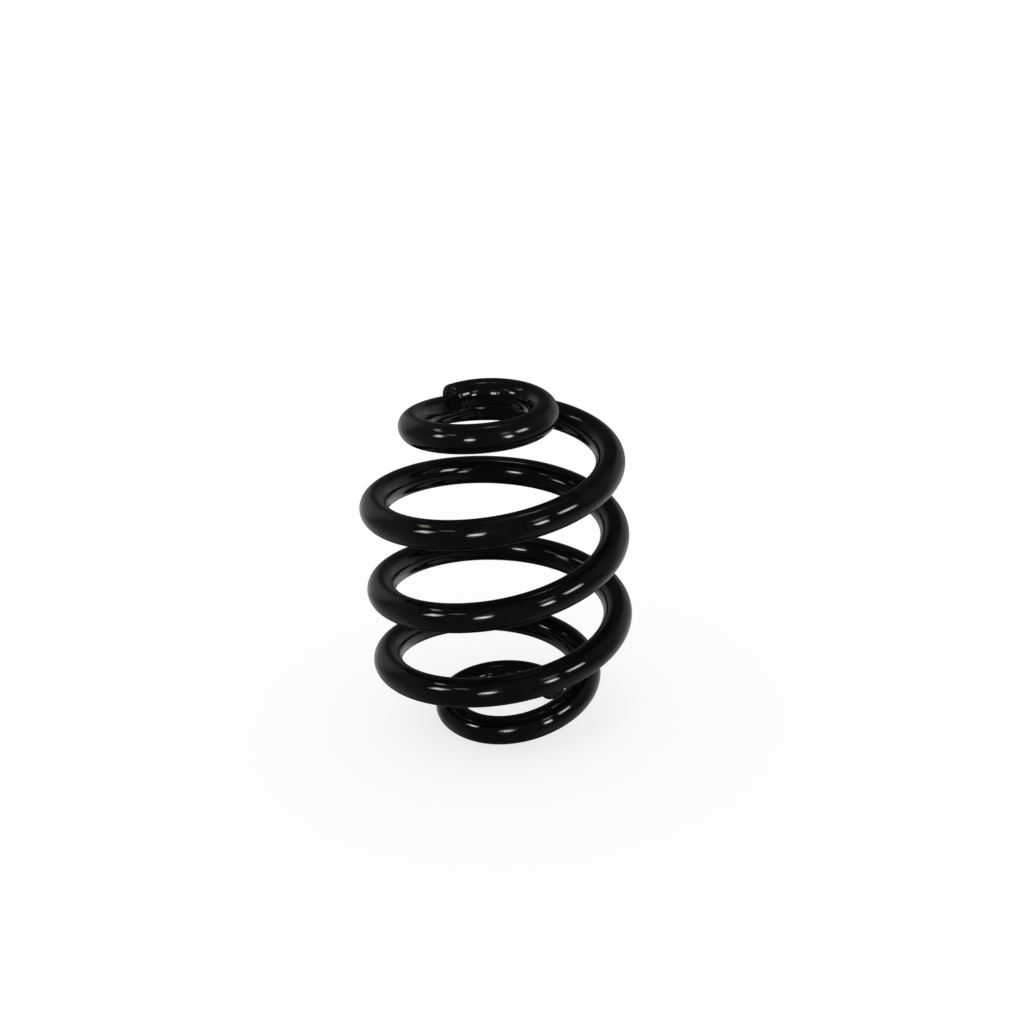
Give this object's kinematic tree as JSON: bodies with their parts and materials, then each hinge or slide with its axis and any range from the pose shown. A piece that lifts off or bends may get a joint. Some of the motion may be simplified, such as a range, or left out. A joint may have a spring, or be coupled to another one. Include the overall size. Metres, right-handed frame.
{
  "type": "suspension spring",
  "caption": "Barrel-shaped compression spring of round black-coated steel wire, narrowing to a small flat seat turn at each end.",
  "frame": {"origin": "centre of the lower seat turn, on the plane that the spring stands on", "axes": "+Z along the coil axis from the lower seat to the upper seat, +X and +Y across it, with the lower tip 22 degrees from +X towards +Y"},
  "size_m": [0.1288, 0.1288, 0.1703],
  "materials": {
    "coating": "gloss"
  },
  "bodies": {
    "root": {"coil_spring": "coating"}
  },
  "joints": []
}
